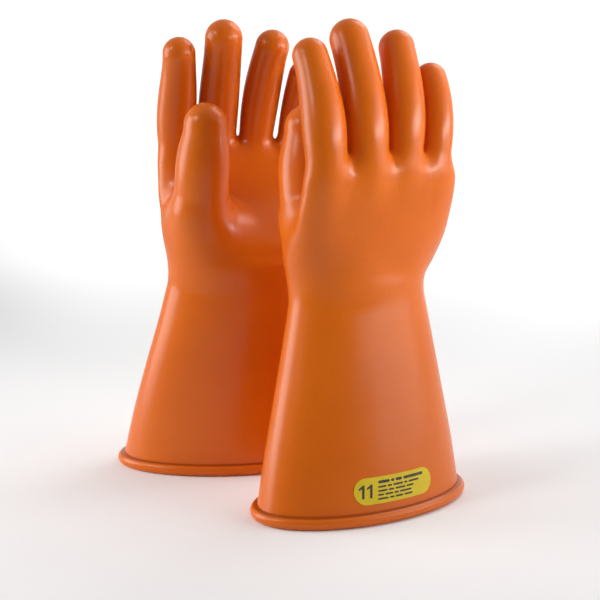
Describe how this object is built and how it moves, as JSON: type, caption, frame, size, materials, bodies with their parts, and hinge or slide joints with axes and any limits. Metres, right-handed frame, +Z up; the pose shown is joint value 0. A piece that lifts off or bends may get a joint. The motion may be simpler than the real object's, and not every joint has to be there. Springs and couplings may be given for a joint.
{
  "type": "electrical insulating gloves",
  "caption": "Pair of dipped rubber insulating gloves with flared cuffs, rolled bead edges and class labels, standing on their cuffs with the palms facing.",
  "frame": {"origin": "on the ground, in the middle of the pair's box", "axes": "+Z up along the gloves' length; the back of the right-hand glove faces -Y and its thumb side -X; the left-hand glove stands behind it towards +Y, with its palm towards the right-hand glove"},
  "size_m": [0.2027, 0.2628, 0.3555],
  "materials": {
    "rubber": "smooth satin natural rubber, orange",
    "label": "flat yellow label bonded to the cuff",
    "print": "flat black print on the label"
  },
  "bodies": {
    "right_cuff": {"right_cuff_bead": "rubber", "right_gauntlet": "rubber", "right_class_label": "label", "right_wrist_section": "rubber"},
    "right_hand": {"right_palm": "rubber"},
    "right_thumb_lower": {"right_thumb_knuckle": "rubber", "right_thumb_base": "rubber"},
    "right_thumb_end": {"right_thumb_middle_joint": "rubber", "right_thumb_tip": "rubber"},
    "right_index_lower": {"right_index_knuckle": "rubber", "right_index_base": "rubber"},
    "right_index_end": {"right_index_middle_joint": "rubber", "right_index_tip": "rubber"},
    "right_middle_lower": {"right_middle_knuckle": "rubber", "right_middle_base": "rubber"},
    "right_middle_end": {"right_middle_middle_joint": "rubber", "right_middle_tip": "rubber"},
    "right_ring_lower": {"right_ring_knuckle": "rubber", "right_ring_base": "rubber"},
    "right_ring_end": {"right_ring_middle_joint": "rubber", "right_ring_tip": "rubber"},
    "right_little_lower": {"right_little_knuckle": "rubber", "right_little_base": "rubber"},
    "right_little_end": {"right_little_middle_joint": "rubber", "right_little_tip": "rubber"},
    "left_cuff": {"left_cuff_bead": "rubber", "left_gauntlet": "rubber", "left_class_label": "label", "left_wrist_section": "rubber"},
    "left_hand": {"left_palm": "rubber"},
    "left_thumb_lower": {"left_thumb_knuckle": "rubber", "left_thumb_base": "rubber"},
    "left_thumb_end": {"left_thumb_middle_joint": "rubber", "left_thumb_tip": "rubber"},
    "left_index_lower": {"left_index_knuckle": "rubber", "left_index_base": "rubber"},
    "left_index_end": {"left_index_middle_joint": "rubber", "left_index_tip": "rubber"},
    "left_middle_lower": {"left_middle_knuckle": "rubber", "left_middle_base": "rubber"},
    "left_middle_end": {"left_middle_middle_joint": "rubber", "left_middle_tip": "rubber"},
    "left_ring_lower": {"left_ring_knuckle": "rubber", "left_ring_base": "rubber"},
    "left_ring_end": {"left_ring_middle_joint": "rubber", "left_ring_tip": "rubber"},
    "left_little_lower": {"left_little_knuckle": "rubber", "left_little_base": "rubber"},
    "left_little_end": {"left_little_middle_joint": "rubber", "left_little_tip": "rubber"}
  },
  "joints": [
    {"name": "right_wrist_bend", "type": "hinge", "parent": "right_cuff", "child": "right_hand", "pos_m": [0.02005, -0.06065, 0.163], "axis": [-1, 0, 0], "range_deg": [-30, 20], "stiffness_Nm_per_rad": 4, "deforming": ["right_wrist_section"]},
    {"name": "right_thumb_knuckle_bend", "type": "hinge", "parent": "right_hand", "child": "right_thumb_lower", "pos_m": [-0.00945, -0.03715, 0.241], "axis": [-1, 0, 0], "range_deg": [-10, 40], "stiffness_Nm_per_rad": 0.3, "deforming": ["right_thumb_knuckle"]},
    {"name": "right_thumb_middle_bend", "type": "hinge", "parent": "right_thumb_lower", "child": "right_thumb_end", "pos_m": [-0.00765, -0.03415, 0.264], "axis": [-1, 0, 0], "range_deg": [-25, 25], "stiffness_Nm_per_rad": 0.15, "deforming": ["right_thumb_middle_joint"]},
    {"name": "right_index_knuckle_bend", "type": "hinge", "parent": "right_hand", "child": "right_index_lower", "pos_m": [-0.02745, -0.08815, 0.272], "axis": [-1, 0, 0], "range_deg": [-10, 32], "stiffness_Nm_per_rad": 0.15, "deforming": ["right_index_knuckle"]},
    {"name": "right_index_middle_bend", "type": "hinge", "parent": "right_index_lower", "child": "right_index_end", "pos_m": [-0.02595, -0.07965, 0.3], "axis": [-1, 0, 0], "range_deg": [-5, 45], "stiffness_Nm_per_rad": 0.1, "deforming": ["right_index_middle_joint"]},
    {"name": "right_middle_knuckle_bend", "type": "hinge", "parent": "right_hand", "child": "right_middle_lower", "pos_m": [0.00555, -0.09165, 0.274], "axis": [-1, 0, 0], "range_deg": [-10, 32], "stiffness_Nm_per_rad": 0.15, "deforming": ["right_middle_knuckle"]},
    {"name": "right_middle_middle_bend", "type": "hinge", "parent": "right_middle_lower", "child": "right_middle_end", "pos_m": [0.00755, -0.08165, 0.306], "axis": [-1, 0, 0], "range_deg": [-5, 45], "stiffness_Nm_per_rad": 0.1, "deforming": ["right_middle_middle_joint"]},
    {"name": "right_ring_knuckle_bend", "type": "hinge", "parent": "right_hand", "child": "right_ring_lower", "pos_m": [0.03755, -0.09365, 0.273], "axis": [-1, 0, 0], "range_deg": [-10, 32], "stiffness_Nm_per_rad": 0.15, "deforming": ["right_ring_knuckle"]},
    {"name": "right_ring_middle_bend", "type": "hinge", "parent": "right_ring_lower", "child": "right_ring_end", "pos_m": [0.04155, -0.08565, 0.303], "axis": [-1, 0, 0], "range_deg": [-5, 45], "stiffness_Nm_per_rad": 0.1, "deforming": ["right_ring_middle_joint"]},
    {"name": "right_little_knuckle_bend", "type": "hinge", "parent": "right_hand", "child": "right_little_lower", "pos_m": [0.06605, -0.09315, 0.268], "axis": [-1, 0, 0], "range_deg": [-10, 32], "stiffness_Nm_per_rad": 0.15, "deforming": ["right_little_knuckle"]},
    {"name": "right_little_middle_bend", "type": "hinge", "parent": "right_little_lower", "child": "right_little_end", "pos_m": [0.06955, -0.08765, 0.292], "axis": [-1, 0, 0], "range_deg": [-5, 45], "stiffness_Nm_per_rad": 0.1, "deforming": ["right_little_middle_joint"]},
    {"name": "left_wrist_bend", "type": "hinge", "parent": "left_cuff", "child": "left_hand", "pos_m": [-0.01697, 0.04928, 0.163], "axis": [0.8988, -0.4384, 0], "range_deg": [-30, 20], "stiffness_Nm_per_rad": 4, "deforming": ["left_wrist_section"]},
    {"name": "left_thumb_knuckle_bend", "type": "hinge", "parent": "left_hand", "child": "left_thumb_lower", "pos_m": [-0.05378, 0.04109, 0.241], "axis": [0.8988, -0.4384, 0], "range_deg": [-10, 40], "stiffness_Nm_per_rad": 0.3, "deforming": ["left_thumb_knuckle"]},
    {"name": "left_thumb_middle_bend", "type": "hinge", "parent": "left_thumb_lower", "child": "left_thumb_end", "pos_m": [-0.05348, 0.03761, 0.264], "axis": [0.8988, -0.4384, 0], "range_deg": [-25, 25], "stiffness_Nm_per_rad": 0.15, "deforming": ["left_thumb_middle_joint"]},
    {"name": "left_index_knuckle_bend", "type": "hinge", "parent": "left_hand", "child": "left_index_lower", "pos_m": [-0.0476, 0.09482, 0.272], "axis": [0.8988, -0.4384, 0], "range_deg": [-10, 32], "stiffness_Nm_per_rad": 0.15, "deforming": ["left_index_knuckle"]},
    {"name": "left_index_middle_bend", "type": "hinge", "parent": "left_index_lower", "child": "left_index_end", "pos_m": [-0.04998, 0.08652, 0.3], "axis": [0.8988, -0.4384, 0], "range_deg": [-5, 45], "stiffness_Nm_per_rad": 0.1, "deforming": ["left_index_middle_joint"]},
    {"name": "left_middle_knuckle_bend", "type": "hinge", "parent": "left_hand", "child": "left_middle_lower", "pos_m": [-0.01641, 0.0835, 0.274], "axis": [0.8988, -0.4384, 0], "range_deg": [-10, 32], "stiffness_Nm_per_rad": 0.15, "deforming": ["left_middle_knuckle"]},
    {"name": "left_middle_middle_bend", "type": "hinge", "parent": "left_middle_lower", "child": "left_middle_end", "pos_m": [-0.019, 0.07363, 0.306], "axis": [0.8988, -0.4384, 0], "range_deg": [-5, 45], "stiffness_Nm_per_rad": 0.1, "deforming": ["left_middle_middle_joint"]},
    {"name": "left_ring_knuckle_bend", "type": "hinge", "parent": "left_hand", "child": "left_ring_lower", "pos_m": [0.01323, 0.07127, 0.273], "axis": [0.8988, -0.4384, 0], "range_deg": [-10, 32], "stiffness_Nm_per_rad": 0.15, "deforming": ["left_ring_knuckle"]},
    {"name": "left_ring_middle_bend", "type": "hinge", "parent": "left_ring_lower", "child": "left_ring_end", "pos_m": [0.01332, 0.06233, 0.303], "axis": [0.8988, -0.4384, 0], "range_deg": [-5, 45], "stiffness_Nm_per_rad": 0.1, "deforming": ["left_ring_middle_joint"]},
    {"name": "left_little_knuckle_bend", "type": "hinge", "parent": "left_hand", "child": "left_little_lower", "pos_m": [0.03863, 0.05833, 0.268], "axis": [0.8988, -0.4384, 0], "range_deg": [-10, 32], "stiffness_Nm_per_rad": 0.15, "deforming": ["left_little_knuckle"]},
    {"name": "left_little_middle_bend", "type": "hinge", "parent": "left_little_lower", "child": "left_little_end", "pos_m": [0.03936, 0.05185, 0.292], "axis": [0.8988, -0.4384, 0], "range_deg": [-5, 45], "stiffness_Nm_per_rad": 0.1, "deforming": ["left_little_middle_joint"]},
    {"name": "pair_spacing", "type": "slide", "parent": "right_cuff", "child": "left_cuff", "axis": [0, 1, 0], "range_m": [0, 0.2]}
  ]
}
